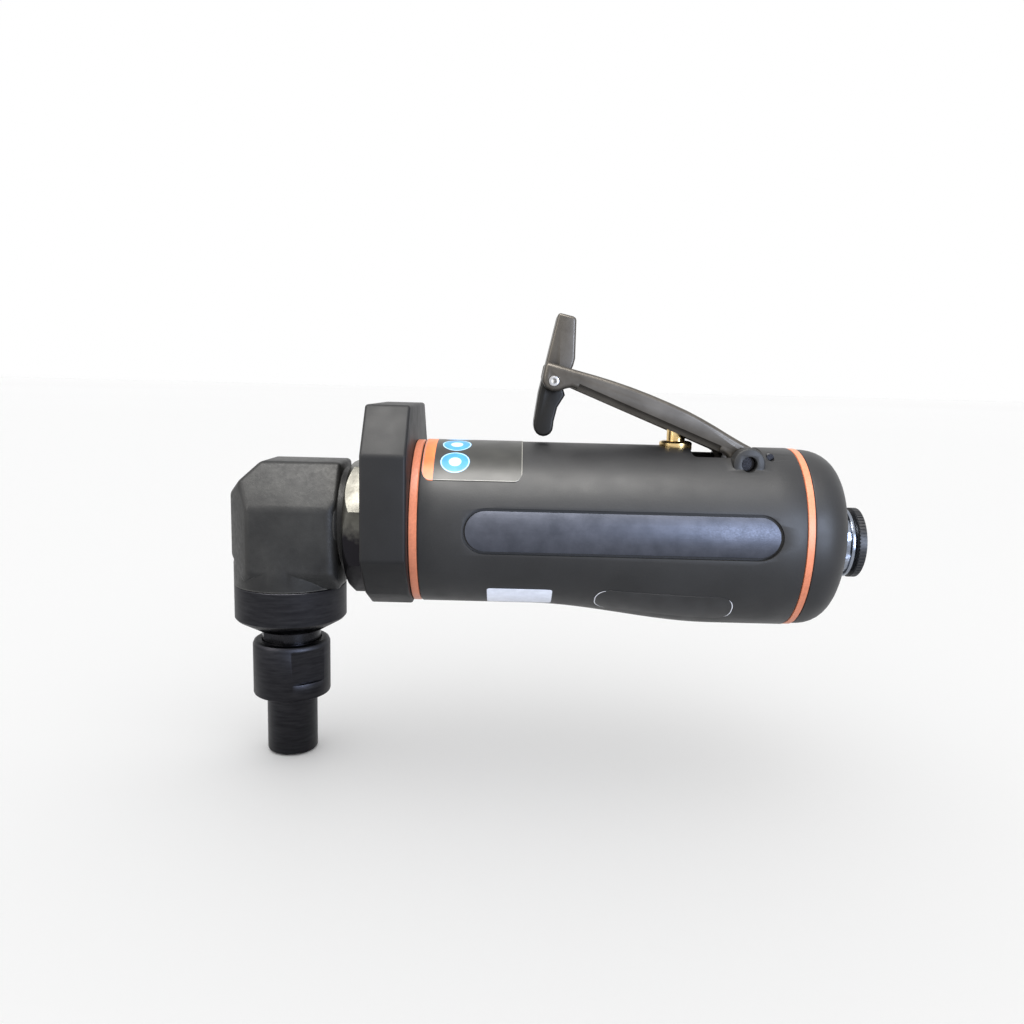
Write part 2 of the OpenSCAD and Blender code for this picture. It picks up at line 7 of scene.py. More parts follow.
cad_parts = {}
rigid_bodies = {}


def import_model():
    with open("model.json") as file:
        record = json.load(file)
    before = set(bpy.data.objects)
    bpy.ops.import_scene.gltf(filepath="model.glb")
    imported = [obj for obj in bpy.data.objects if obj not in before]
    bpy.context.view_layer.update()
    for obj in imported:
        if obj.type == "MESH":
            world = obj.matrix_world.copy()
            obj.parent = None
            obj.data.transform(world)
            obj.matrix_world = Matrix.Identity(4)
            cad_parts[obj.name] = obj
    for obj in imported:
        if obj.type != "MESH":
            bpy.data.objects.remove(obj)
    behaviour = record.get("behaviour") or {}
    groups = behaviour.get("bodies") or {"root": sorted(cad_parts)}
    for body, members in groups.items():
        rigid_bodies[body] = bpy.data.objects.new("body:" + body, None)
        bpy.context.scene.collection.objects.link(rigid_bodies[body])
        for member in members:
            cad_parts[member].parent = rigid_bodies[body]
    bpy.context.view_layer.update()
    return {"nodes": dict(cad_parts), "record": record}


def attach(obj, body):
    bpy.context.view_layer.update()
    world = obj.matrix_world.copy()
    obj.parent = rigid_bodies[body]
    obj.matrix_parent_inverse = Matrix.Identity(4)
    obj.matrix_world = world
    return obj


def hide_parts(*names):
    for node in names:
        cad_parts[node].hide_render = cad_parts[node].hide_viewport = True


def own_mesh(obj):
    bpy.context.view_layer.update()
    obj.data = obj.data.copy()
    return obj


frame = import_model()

# Sizes and places are millimetres in the row frame, and mm() or MM turns them into metres.
MM = 0.001
AXIS_H = 62.5        # height of the motor axis
GRIP_R = 20.6        # radius of the round grip
NUT_DROP = 1.6       # the clamp nut's facets sit this far below the motor axis
NUT_TURN = 18.5      # turn of those facets, in degrees
FLAT_TURN = 49       # turn of the collet nut's two flats, in degrees
PLATE_X = 83.2       # middle of the nameplate
STEM = Vector((98.1, 0, AXIS_H))
INLET = Vector((0, 0, AXIS_H - 3.2))
PIVOT = Vector((113.8, 0.0, AXIS_H + 17.25))
LEVER_TILT = math.radians(21.9)
LATCH = Vector((66.4, 0.0, AXIS_H + 35.97))


def mm(*v):
    return Vector(v) * MM


# ---------------------------------------------------------------- materials

class Finish:
    """A procedural material, built node by node on object coordinates."""

    def __init__(self, name, colour, rough, metal=0.0, spec=0.5):
        self.mat = bpy.data.materials.new(name)
        self.mat.use_nodes = True
        self.nodes = self.mat.node_tree.nodes
        self.links = self.mat.node_tree.links
        self.nodes.clear()
        self.out = self.nodes.new("ShaderNodeOutputMaterial")
        self.bsdf = self.nodes.new("ShaderNodeBsdfPrincipled")
        self.links.new(self.bsdf.outputs[0], self.out.inputs[0])
        self.bsdf.inputs["Base Color"].default_value = (*colour, 1)
        self.bsdf.inputs["Roughness"].default_value = rough
        self.bsdf.inputs["Metallic"].default_value = metal
        self.bsdf.inputs["Specular IOR Level"].default_value = spec
        self.coords = self.nodes.new("ShaderNodeTexCoord")
        self.normal = None

    def stretched(self, scale):
        """Object coordinates, scaled."""
        node = self.nodes.new("ShaderNodeMapping")
        node.inputs["Scale"].default_value = scale
        self.links.new(self.coords.outputs["Object"], node.inputs[0])
        return node.outputs[0]

    def noise(self, size_mm, detail=4.0, stretch=(1, 1, 1)):
        """Noise whose lumps are about size_mm across."""
        node = self.nodes.new("ShaderNodeTexNoise")
        node.inputs["Scale"].default_value = 1000.0 / size_mm
        node.inputs["Detail"].default_value = detail
        node.inputs["Roughness"].default_value = 0.55
        self.links.new(self.stretched(stretch), node.inputs["Vector"])
        return node.outputs["Fac"]

    def ramp(self, value, stops):
        node = self.nodes.new("ShaderNodeValToRGB")
        band = node.color_ramp
        while len(band.elements) < len(stops):
            band.elements.new(0.5)
        for element, (pos, shade) in zip(band.elements, stops):
            element.position = pos
            if not isinstance(shade, tuple):
                shade = (shade, shade, shade)
            element.color = (*shade, 1)
        self.links.new(value, node.inputs[0])
        return node.outputs[0]

    def math(self, kind, a, b=None):
        node = self.nodes.new("ShaderNodeMath")
        node.operation = kind
        for socket, value in zip(node.inputs, (a, b)):
            if value is None:
                continue
            if isinstance(value, (int, float)):
                socket.default_value = value
            else:
                self.links.new(value, socket)
        return node.outputs[0]

    def mix(self, factor, a, b):
        node = self.nodes.new("ShaderNodeMix")
        node.data_type = "RGBA"
        for socket, value in ((node.inputs[0], factor), (node.inputs[6], a), (node.inputs[7], b)):
            if isinstance(value, (int, float)):
                socket.default_value = value
            elif isinstance(value, tuple):
                socket.default_value = (*value, 1)
            else:
                self.links.new(value, socket)
        return node.outputs[2]

    def axis(self, name):
        node = self.nodes.new("ShaderNodeSeparateXYZ")
        self.links.new(self.coords.outputs["Object"], node.inputs[0])
        return node.outputs["XYZ".index(name)]

    def paint(self, colour):
        self.links.new(colour, self.bsdf.inputs["Base Color"])
        return self

    def gloss(self, value):
        self.links.new(value, self.bsdf.inputs["Roughness"])
        return self

    def bump(self, height, strength, depth_mm):
        node = self.nodes.new("ShaderNodeBump")
        node.inputs["Strength"].default_value = strength
        node.inputs["Distance"].default_value = depth_mm * MM
        self.links.new(height, node.inputs["Height"])
        if self.normal is not None:
            self.links.new(self.normal, node.inputs["Normal"])
        self.normal = node.outputs[0]
        self.links.new(self.normal, self.bsdf.inputs["Normal"])
        return self

    def outline(self, x, arc, half_x, half_arc, corner, inset, width):
        """1 on a thin line inside a rounded rectangle wrapped round the grip, else 0."""
        along = self.math("MULTIPLY", self.axis("X"), 1000.0)
        up = self.math("SUBTRACT", self.math("MULTIPLY", self.axis("Z"), 1000.0), AXIS_H)
        near = self.math("MULTIPLY", self.axis("Y"), -1000.0)
        wrap = self.math("MULTIPLY", self.math("ARCTAN2", up, near), GRIP_R)
        qx = self.math("SUBTRACT", self.math("ABSOLUTE", self.math("SUBTRACT", along, x)), half_x - corner)
        qa = self.math("SUBTRACT", self.math("ABSOLUTE", self.math("SUBTRACT", wrap, arc)), half_arc - corner)
        px, pa = self.math("MAXIMUM", qx, 0.0), self.math("MAXIMUM", qa, 0.0)
        square = self.math("ADD", self.math("MULTIPLY", px, px), self.math("MULTIPLY", pa, pa))
        far = self.math("SQRT", square)
        inner = self.math("MINIMUM", self.math("MAXIMUM", qx, qa), 0.0)
        edge = self.math("SUBTRACT", self.math("ADD", far, inner), corner - inset)
        return self.math("LESS_THAN", self.math("ABSOLUTE", edge), width / 2)

    def edge_wear(self, radius_mm, low, high):
        """1 on sharp edges, 0 on flats, broken up by noise."""
        bevel = self.nodes.new("ShaderNodeBevel")
        bevel.samples = 6
        bevel.inputs["Radius"].default_value = radius_mm * MM
        geo = self.nodes.new("ShaderNodeNewGeometry")
        dot = self.nodes.new("ShaderNodeVectorMath")
        dot.operation = "DOT_PRODUCT"
        self.links.new(bevel.outputs[0], dot.inputs[0])
        self.links.new(geo.outputs["Normal"], dot.inputs[1])
        lift = self.math("SUBTRACT", 1.0, dot.outputs["Value"])
        broken = self.math("MULTIPLY", lift, self.math("ADD", self.noise(1.6), 0.5))
        return self.ramp(broken, [(low, 0.0), (high, 1.0)])


def composite(name, dark, light, rough, grain_mm=0.35, grain=0.25, spec=0.4):
    f = Finish(name, light, rough, spec=spec)
    cloud = f.ramp(f.noise(14, 3), [(0.3, dark), (0.7, light)])
    speck = f.ramp(f.noise(grain_mm, 2), [(0.35, 0.0), (0.7, 1.0)])
    f.paint(f.mix(f.math("MULTIPLY", speck, 0.16), cloud, tuple(c * 1.8 for c in light)))
    f.gloss(f.ramp(f.noise(6, 3), [(0.25, rough - 0.06), (0.75, rough + 0.06)]))
    f.bump(f.noise(grain_mm, 3), grain, 0.05)
    f.bump(f.noise(grain_mm * 9, 2), 0.08, 0.05)
    return f


def steel(name, dark, light, rough, stretch=(1, 1, 1), metal=1.0, line_mm=0.5, lines=0.15):
    f = Finish(name, light, rough, metal)
    f.paint(f.ramp(f.noise(5, 5, stretch), [(0.3, dark), (0.72, light)]))
    f.gloss(f.ramp(f.noise(line_mm, 4, stretch), [(0.2, rough - 0.08), (0.8, rough + 0.1)]))
    f.bump(f.noise(line_mm, 3, stretch), lines, 0.02)
    return f


def turned_steel(name, dark, light, rough):
    """Blackened steel off the lathe, with fine grooves round the spindle's axis."""
    f = steel(name, dark, light, rough, (1, 1, 7), 1.0, 0.5, 0.12)
    tangent = f.nodes.new("ShaderNodeTangent")
    tangent.direction_type = "RADIAL"
    tangent.axis = "Z"
    f.links.new(tangent.outputs[0], f.bsdf.inputs["Tangent"])
    f.bsdf.inputs["Anisotropic"].default_value = 0.8
    return f


def forged():
    f = Finish("forged_black", (0.02, 0.02, 0.021), 0.5, 0.5, spec=0.35)
    body = f.ramp(f.noise(9, 5), [(0.3, (0.012, 0.012, 0.0125)), (0.7, (0.026, 0.026, 0.0255))])
    worn = f.edge_wear(0.9, 0.06, 0.3)
    f.paint(f.mix(f.math("MULTIPLY", worn, 0.6), body, (0.2, 0.195, 0.185)))
    f.gloss(f.ramp(f.noise(1.2, 4), [(0.2, 0.38), (0.8, 0.56)]))
    f.bump(f.noise(0.9, 4), 0.35, 0.12)
    f.bump(f.noise(5, 2), 0.2, 0.2)
    return f


def lever_black(name="lever_black", shade_below_z=None):
    """Black pressed steel with a satin sheen and worn edges; if a height is given, painted shade turns it
    near black below that height.
    """
    f = Finish(name, (0.05, 0.048, 0.044), 0.34, 0.75)
    body = f.ramp(f.noise(7, 4), [(0.3, (0.058, 0.052, 0.045)), (0.72, (0.085, 0.077, 0.067))])
    # Painted shade: below the given height the steel is painted near black, fading up over about 5 mm.
    if shade_below_z is not None:
        above = f.math("SUBTRACT", f.axis("Z"), shade_below_z * MM)
        clear_of_shade = f.ramp(f.math("MULTIPLY", above, 200.0), [(0.0, 0.0), (1.0, 1.0)])
        body = f.mix(clear_of_shade, (0.014, 0.0135, 0.013), body)
    worn = f.edge_wear(0.35, 0.1, 0.35)
    f.paint(f.mix(f.math("MULTIPLY", worn, 0.4), body, (0.24, 0.23, 0.21)))
    f.gloss(f.ramp(f.noise(0.8, 4), [(0.2, 0.34), (0.8, 0.46)]))
    f.bump(f.noise(0.5, 3), 0.14, 0.04)
    return f


def label_print():
    """Dark film: a warm band at its front edge, a row of round blue spots and a fine pale outline."""
    f = Finish("label_film", (0.05, 0.05, 0.055), 0.3, spec=0.4)
    x = f.math("MULTIPLY", f.axis("X"), 1000.0)
    up = f.math("SUBTRACT", f.math("MULTIPLY", f.axis("Z"), 1000.0), AXIS_H)
    near = f.math("MULTIPLY", f.axis("Y"), -1000.0)
    arc = f.math("MULTIPLY", f.math("ARCTAN2", up, near), GRIP_R)
    warm = f.ramp(f.noise(3, 2), [(0.3, (0.5, 0.11, 0.03)), (0.7, (0.58, 0.15, 0.045))])
    dark = f.ramp(f.noise(5, 3), [(0.3, (0.016, 0.016, 0.0145)), (0.7, (0.024, 0.0235, 0.021))])
    paint = f.mix(f.math("LESS_THAN", x, 38.1), dark, warm)
    pitch, first, disc = 7.9, 14.6, 3.55
    row = f.math("SUBTRACT", f.math("FLOORED_MODULO", f.math("SUBTRACT", arc, first), pitch), pitch / 2)
    col = f.math("SUBTRACT", x, 43.1)
    away = f.math("SQRT", f.math("ADD", f.math("MULTIPLY", row, row), f.math("MULTIPLY", col, col)))
    away = f.math("ADD", away, f.math("MULTIPLY", f.math("LESS_THAN", arc, 14.5), 50.0))
    blue = f.ramp(f.noise(2, 2), [(0.3, (0.03, 0.17, 0.36)), (0.7, (0.045, 0.22, 0.42))])
    paint = f.mix(f.math("LESS_THAN", away, disc), paint, blue)
    rim = f.math("LESS_THAN", f.math("ABSOLUTE", f.math("SUBTRACT", away, 3.35)), 0.12)
    paint = f.mix(rim, paint, (0.3, 0.42, 0.5))
    paint = f.mix(f.math("LESS_THAN", away, 1.5), paint, (0.34, 0.46, 0.54))
    f.paint(f.mix(f.outline(47.35, 32.36, 12.0, 19.5, 2.0, 0.16, 0.16), paint, (0.16, 0.155, 0.14)))
    f.gloss(f.ramp(f.noise(4, 3), [(0.25, 0.3), (0.75, 0.4)]))
    f.bump(f.noise(0.5, 2), 0.04, 0.03)
    return f


def nickel():
    """Bright plate, with painted shade turning it near black towards its underside."""
    f = Finish("nickel", (0.6, 0.58, 0.54), 0.24, 1.0)
    bright = f.ramp(f.noise(5, 5), [(0.3, (0.07, 0.068, 0.06)), (0.72, (0.15, 0.147, 0.133))])
    # Painted shade: under the motor axis the plate is painted near black, with a ragged border, where shade
    # falls on it.
    up = f.math("SUBTRACT", f.math("MULTIPLY", f.axis("Z"), 1000.0), AXIS_H)
    high = f.ramp(f.math("ADD", f.math("MULTIPLY", up, 0.08), f.math("MULTIPLY", f.noise(2.5, 4), 0.5)),
                  [(0.02, 0.0), (0.3, 1.0)])
    f.paint(f.mix(high, (0.018, 0.017, 0.02), bright))
    f.gloss(f.ramp(f.noise(0.8, 4), [(0.2, 0.28), (0.8, 0.46)]))
    f.bump(f.noise(0.9, 4), 0.25, 0.06)
    return f


def rating_print():
    """Dark rounded film with a fine pale outline."""
    f = Finish("rating_label", (0.02, 0.02, 0.021), 0.34, spec=0.35)
    dark = f.ramp(f.noise(5, 3), [(0.3, (0.012, 0.012, 0.0125)), (0.7, (0.02, 0.02, 0.021))])
    line = f.outline(94.5, -18.6, 17.0, 4.7, 4.2, 0.32, 0.22)
    f.paint(f.mix(line, dark, (0.5, 0.5, 0.52)))
    f.gloss(f.ramp(f.noise(4, 3), [(0.25, 0.3), (0.75, 0.42)]))
    f.bump(f.noise(0.5, 2), 0.04, 0.03)
    return f


FINISHES = {
    "forged_black": forged(),
    "blackened_steel": steel("blackened_steel", (0.014, 0.014, 0.016), (0.03, 0.03, 0.034), 0.27),
    "turned_black": turned_steel("turned_black", (0.018, 0.018, 0.021), (0.034, 0.034, 0.038), 0.36),
    "ground_steel": steel("ground_steel", (0.32, 0.32, 0.33), (0.55, 0.55, 0.56), 0.3, (1, 6, 6)),
    "nickel": nickel(),
    "guard_composite": composite("guard_composite", (0.006, 0.006, 0.0065), (0.009, 0.009, 0.0095), 0.5,
                                 spec=0.22),
    "grip_composite": composite("grip_composite", (0.009, 0.009, 0.0095), (0.014, 0.014, 0.0145), 0.47,
                                spec=0.34),
    "orange_ring": composite("orange_ring", (0.38, 0.12, 0.06), (0.48, 0.165, 0.09), 0.38, 0.6, 0.1),
    "cast_aluminium": steel("cast_aluminium", (0.35, 0.35, 0.36), (0.5, 0.5, 0.52), 0.5),
    "plate_foil": steel("plate_foil", (0.045, 0.049, 0.062), (0.075, 0.08, 0.1), 0.46, (1, 1, 1), 0.8, 0.4),
    "label_film": label_print(),
    "vane_laminate": composite("vane_laminate", (0.18, 0.09, 0.04), (0.3, 0.17, 0.08), 0.6, 0.5, 0.3),
    "felt": composite("felt", (0.25, 0.23, 0.19), (0.36, 0.34, 0.29), 0.9, 0.4, 0.7),
    "inlet_metal": steel("inlet_metal", (0.16, 0.18, 0.22), (0.32, 0.35, 0.41), 0.24, (1, 1, 1)),
    "black_ring": steel("black_ring", (0.012, 0.012, 0.013), (0.03, 0.03, 0.032), 0.42, metal=0.4),
    "brass": steel("brass", (0.62, 0.42, 0.16), (0.82, 0.62, 0.32), 0.25, (1, 1, 4)),
    "lever_black": lever_black(),
    # The latch carries painted shade: its tongue below the rivet is painted near black.
    "latch_black": lever_black("latch_black", LATCH.z - 0.5),
    "rating_label": rating_print(),
    "sticker": composite("sticker", (0.5, 0.52, 0.58), (0.6, 0.62, 0.68), 0.4, 2.0, 0.03),
    "rubber": composite("rubber", (0.012, 0.012, 0.012), (0.02, 0.02, 0.02), 0.7),
    "spring_steel": steel("spring_steel", (0.3, 0.3, 0.31), (0.5, 0.5, 0.51), 0.3),
}


# Finishes that share a slot of the record.
for entry in frame["record"]["subparts"]:
    cad = frame["nodes"][entry["node"]]
    cad.data.materials.clear()
    cad.data.materials.append(FINISHES[entry["material_slot"]].mat)

# ---------------------------------------------------------------- modelling helpers

TURN = {"X": (0, math.pi / 2, 0), "Y": (math.pi / 2, 0, 0), "Z": (0, 0, 0)}
WAY = {"X": Vector((1, 0, 0)), "Y": Vector((0, -1, 0)), "Z": Vector((0, 0, 1))}
AXIS = Vector((0, 0, AXIS_H))


def fresh():
    if bpy.context.object is not None and bpy.context.object.mode != "OBJECT":
        bpy.ops.object.mode_set(mode="OBJECT")
    bpy.ops.object.select_all(action="DESELECT")


def edit(obj):
    fresh()
    obj.select_set(True)
    bpy.context.view_layer.objects.active = obj
    bpy.ops.object.mode_set(mode="EDIT")
    bpy.ops.mesh.select_all(action="SELECT")


def settle(name):
    """Leaves edit mode with normals outward and the object at the origin, unturned and unscaled."""
    bpy.ops.mesh.select_all(action="SELECT")
    bpy.ops.mesh.normals_make_consistent(inside=False)
    bpy.ops.object.mode_set(mode="OBJECT")
    bpy.ops.object.transform_apply(location=True, rotation=True, scale=True)
    obj = bpy.context.object
    obj.name = name
    return obj


def turned(name, axis, at, rings, sides=96, closed=False, spin=0.0):
    """A circle at the first (along, radius), extruded and scaled ring by ring along the axis."""
    fresh()
    way = WAY[axis]
    start = at + way * rings[0][0]
    bpy.ops.mesh.primitive_circle_add(vertices=sides, radius=rings[0][1] * MM, fill_type="NOTHING",
                                      location=start * MM, rotation=TURN[axis])
    bpy.ops.object.transform_apply(location=True, rotation=True, scale=True)
    bpy.ops.object.mode_set(mode="EDIT")
    bpy.ops.mesh.select_all(action="SELECT")
    if spin:
        bpy.ops.transform.rotate(value=spin, orient_axis=axis, center_override=start * MM)
    steps = list(rings[1:]) + ([rings[0]] if closed else [])
    was = rings[0]
    for along, radius in steps:
        bpy.ops.mesh.extrude_region_move(TRANSFORM_OT_translate={"value": way * (along - was[0]) * MM})
        k = radius / was[1]
        bpy.ops.transform.resize(value=tuple(1.0 if c == axis else k for c in "XYZ"),
                                 center_override=(at + way * along) * MM)
        was = (along, radius)
    bpy.ops.mesh.select_all(action="SELECT")
    if closed:
        bpy.ops.mesh.remove_doubles(threshold=0.002 * MM)
    else:
        bpy.ops.mesh.fill_holes(sides=0)
    return settle(name)


def loft(name, stations, steps=24):
    """Bridges closed curve sections along X. A station is (x, radius, reach below, foot width)."""
    rings = []
    for x, radius, low, foot in stations:
        fresh()
        bpy.ops.curve.primitive_bezier_circle_add(radius=radius * MM, location=mm(x, 0, AXIS_H),
                                                  rotation=(math.pi / 2, 0, math.pi / 2))
        bpy.ops.object.transform_apply(location=True, rotation=True, scale=True)
        curve = bpy.context.object
        curve.data.resolution_u = steps
        if low > radius:
            bottom = min(curve.data.splines[0].bezier_points, key=lambda p: p.co.z)
            reach = (bottom.handle_left - bottom.handle_right) * 0.5 * foot
            bottom.co.z = bottom.handle_left.z = bottom.handle_right.z = (AXIS_H - low) * MM
            bottom.handle_left = bottom.co + reach
            bottom.handle_right = bottom.co - reach
        bpy.ops.object.convert(target="MESH")
        rings.append(bpy.context.object)
    for ring in rings:
        ring.select_set(True)
    bpy.context.view_layer.objects.active = rings[0]
    bpy.ops.object.join()
    bpy.ops.object.mode_set(mode="EDIT")
    bpy.ops.mesh.select_all(action="SELECT")
    bpy.ops.mesh.bridge_edge_loops()
    bpy.ops.mesh.select_all(action="SELECT")
    bpy.ops.mesh.fill_holes(sides=0)
    return settle(name)


def block(name, low, high, cuts=()):
    """A box between two corners, trimmed by planes given as (point, outward normal)."""
    fresh()
    low, high = Vector(low), Vector(high)
    bpy.ops.mesh.primitive_cube_add(size=MM, location=(low + high) / 2 * MM)
    bpy.ops.transform.resize(value=tuple(high - low))
    bpy.ops.object.transform_apply(location=True, rotation=True, scale=True)
    bpy.ops.object.mode_set(mode="EDIT")
    for point, normal in cuts:
        bpy.ops.mesh.select_all(action="SELECT")
        bpy.ops.mesh.bisect(plane_co=Vector(point) * MM, plane_no=Vector(normal).normalized(),
                            use_fill=True, clear_outer=True)
    return settle(name)


def sheet(name, outline, across):
    """A corner-by-corner outline, filled and pulled across by a vector."""
    fresh()
    bpy.ops.mesh.primitive_plane_add(size=MM, location=outline[0] * MM)
    bpy.ops.object.transform_apply(location=True, rotation=True, scale=True)
    bpy.ops.object.mode_set(mode="EDIT")
    bpy.ops.mesh.select_all(action="SELECT")
    bpy.ops.mesh.merge(type="CENTER")
    for here, there in zip(outline, outline[1:]):
        bpy.ops.mesh.extrude_region_move(TRANSFORM_OT_translate={"value": (there - here) * MM})
    bpy.ops.mesh.select_all(action="SELECT")
    bpy.ops.mesh.edge_face_add()
    bpy.ops.mesh.extrude_region_move(TRANSFORM_OT_translate={"value": across * MM})
    return settle(name)


def carve(obj, *tools, kind="DIFFERENCE"):
    for tool in tools:
        fresh()
        obj.select_set(True)
        bpy.context.view_layer.objects.active = obj
        step = obj.modifiers.new("step", "BOOLEAN")
        step.operation = kind
        step.solver = "EXACT"
        step.object = tool
        bpy.ops.object.modifier_apply(modifier=step.name)
        bpy.data.objects.remove(tool, do_unlink=True)
    return obj


def soften(obj, width, segments=3, angle=28.0):
    """Rounds the sharp edges and smooths the rest."""
    fresh()
    obj.select_set(True)
    bpy.context.view_layer.objects.active = obj
    step = obj.modifiers.new("round", "BEVEL")
    step.width = width * MM
    step.segments = segments
    step.limit_method = "ANGLE"
    step.angle_limit = math.radians(angle)
    bpy.ops.object.modifier_apply(modifier=step.name)
    return smooth(obj)


def round_corners(obj, axis, width, segments):
    """Rounds the long edges of a block that run along one axis: 1 is Y, 2 is Z."""
    name = obj.name
    edit(obj)
    bpy.ops.mesh.select_mode(type="EDGE")
    bpy.ops.mesh.select_all(action="DESELECT")
    bpy.ops.object.mode_set(mode="OBJECT")
    for edge in obj.data.edges:
        a, b = (obj.data.vertices[i].co for i in edge.vertices)
        edge.select = abs(a[axis] - b[axis]) > 5 * MM
    bpy.ops.object.mode_set(mode="EDIT")
    bpy.ops.mesh.bevel(offset=width * MM, segments=segments, affect="EDGES")
    bpy.ops.mesh.select_mode(type="VERT")
    return settle(name)


def smooth(obj, angle=35.0):
    fresh()
    obj.select_set(True)
    bpy.context.view_layer.objects.active = obj
    bpy.ops.object.shade_smooth_by_angle(angle=math.radians(angle))
    return obj


def keep(obj, body, material, *nodes):
    """Hands a finished piece over: material, body, slot and the nodes it stands for."""
    fresh()
    obj.data.materials.clear()
    obj.data.materials.append(FINISHES[material].mat)
    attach(obj, body)
    if nodes:
        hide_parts(*nodes)
    return obj


# ---------------------------------------------------------------- angle head

def build_head():
    h = AXIS_H
    body = block("head_forging", (-13.6, -14, h - 17), (14.5, 14, h + 14.8), (
        ((-13.6, 5.8, h), (-8.2, 6.4, 0)), ((-13.6, -5.8, h), (-8.2, -6.4, 0)),
        ((0, 7.2, h + 14.8), (0, 11, 6.8)), ((0, -7.2, h + 14.8), (0, -11, 6.8)),
        ((-13.6, 0, h + 6.6), (-8.2, 0, 8.2)),
        ((14.5, 12.5, h), (1, 1, 0)), ((14.5, -12.5, h), (1, -1, 0)),
        ((-13.6, 0, h - 9.5), (-1.2, 0, -1)),
        ((0, -14, h - 12.6), (0, -1, -1.1)), ((0, 14, h - 12.6), (0, 1, -1.1))))
    soften(body, 1.3, 4)
    neck = turned("neck", "Z", AXIS, ((-17, 14.2), (-11.5, 14.2), (-6, 13.2), (-5, 6)))
    collar = turned("collar", "X", AXIS, ((12.5, 13.2), (14, 13.4), (14.6, 12.9), (15.9, 12.7), (16.1, 12.4),
                                        (20, 12.4), (20.2, 13.5), (22.8, 13.5), (23, 13.2)))
    carve(body, neck, collar, kind="UNION")
    bore = turned("bore", "Z", AXIS, ((-18, 12.4), (-13.6, 12.4), (-13.6, 11), (-10.2, 11), (-10.2, 10.4),
                                     (8.3, 10.4), (8.3, 6.5), (12.6, 6.5)))
    cross = turned("cross", "X", AXIS, ((0, 8), (24, 8)))
    carve(body, bore, cross)
    soften(body, 0.35, 2)
    keep(body, "housing", "forged_black", "angle_head")


def build_bearing_cap():
    cap = turned("bearing_cap_turned", "Z", AXIS, (
        (-29.3, 7.85), (-29.3, 8.3), (-29.1, 8.75), (-26.3, 13.7), (-25.7, 14.2), (-17.35, 14.2),
        (-17.02, 13.9), (-17.02, 12.35), (-13.75, 12.35), (-13.75, 11.05), (-17.3, 11.05), (-17.3, 9.8),
        (-24.95, 9.8), (-24.95, 7.85)), closed=True)
    keep(smooth(cap, 28), "housing", "turned_black", "bearing_cap")


def build_collet_nut():
    nut = turned("collet_nut_turned", "Z", AXIS, (
        (-62.2, 5.25), (-62.2, 5.9), (-62.0, 6.25), (-61.6, 6.45), (-46.75, 6.45), (-46.6, 6.6),
        (-46.6, 9.4), (-46.4, 9.75), (-46.0, 9.9), (-33.2, 9.9), (-32.4, 9.55), (-32.05, 9.0), (-32.05, 7.7),
        (-32.9, 7.55), (-32.9, 6.25), (-44.4, 6.25), (-44.4, 5.25)), closed=True)
    for side in (0, math.pi):
        flat = block("flat", (8.85, -5, AXIS_H - 42.2), (13, 5, AXIS_H - 33.9))
        edit(flat)
        bpy.ops.transform.rotate(value=-(side - math.radians(FLAT_TURN)), orient_axis="Z",
                                 center_override=(0, 0, 0))
        settle("flat")
        carve(nut, flat)
    soften(nut, 0.12, 2, 30)
    keep(nut, "spindle", "turned_black", "collet_nut")


def build_clamp_nut():
    middle = AXIS + Vector((0, 0, -NUT_DROP))
    eight = turned("facets", "X", middle, ((16.2, 17.3), (22, 17.3)), sides=8, spin=math.radians(NUT_TURN))
    trim = turned("trim", "X", middle, ((16.2, 15.3), (16.5, 15.9), (18.1, 17.4), (22, 17.4)))
    carve(eight, trim, kind="INTERSECT")
    hub = turned("hub", "X", AXIS, ((21.9, 16.2), (33, 16.2)))
    carve(eight, hub, kind="UNION")
    through = turned("through", "X", AXIS, (
        (15, 12.55), (19.9, 12.55), (19.9, 13.7), (23.4, 13.7), (23.4, 14.6), (34, 14.6)))
    carve(eight, through)
    soften(eight, 0.3, 2)
    keep(eight, "housing", "nickel", "clamp_nut")


def build_guard():
    h = AXIS_H
    guard = block("front_guard_moulded", (22, -24.5, h - 20.3), (32.7, 24.5, h + 29.5), (
        ((22, 16.3, h + 29.5), (0.0, 11.3, 8.2)), ((22, -16.3, h + 29.5), (0.0, -11.3, 8.2)),
        ((22, 24.5, h - 6.5), (0, 9.5, -8.5)), ((22, -24.5, h - 6.5), (0, -9.5, -8.5)),
        ((22, 16, h - 16), (0, 4.3, -9)), ((22, -16, h - 16), (0, -4.3, -9))))
    soften(guard, 0.7, 4)
    hole = turned("hole", "X", AXIS, ((21, 17.0), (22.0, 17.0), (22.7, 16.3), (34, 16.3)))
    carve(guard, hole)
    smooth(guard)
    keep(guard, "housing", "guard_composite", "front_guard")


def build_front_ring():
    ring = turned("front_ring_turned", "X", AXIS, (
        (32.72, 14.7), (32.72, 20.1), (32.95, 20.5), (34.5, 20.5), (34.78, 20.2), (34.78, 14.7)), closed=True)
    keep(smooth(ring), "housing", "orange_ring", "front_ring")


# ---------------------------------------------------------------- grip

def egg(x):
    """Section of the grip at x: radius, reach below the axis and width of the foot."""
    t = min(max((x - 62.0) / 46.0, 0.0), 1.0)
    t = t * t * (3 - 2 * t)
    return GRIP_R, GRIP_R + t * 4.1, 1 - 0.22 * t


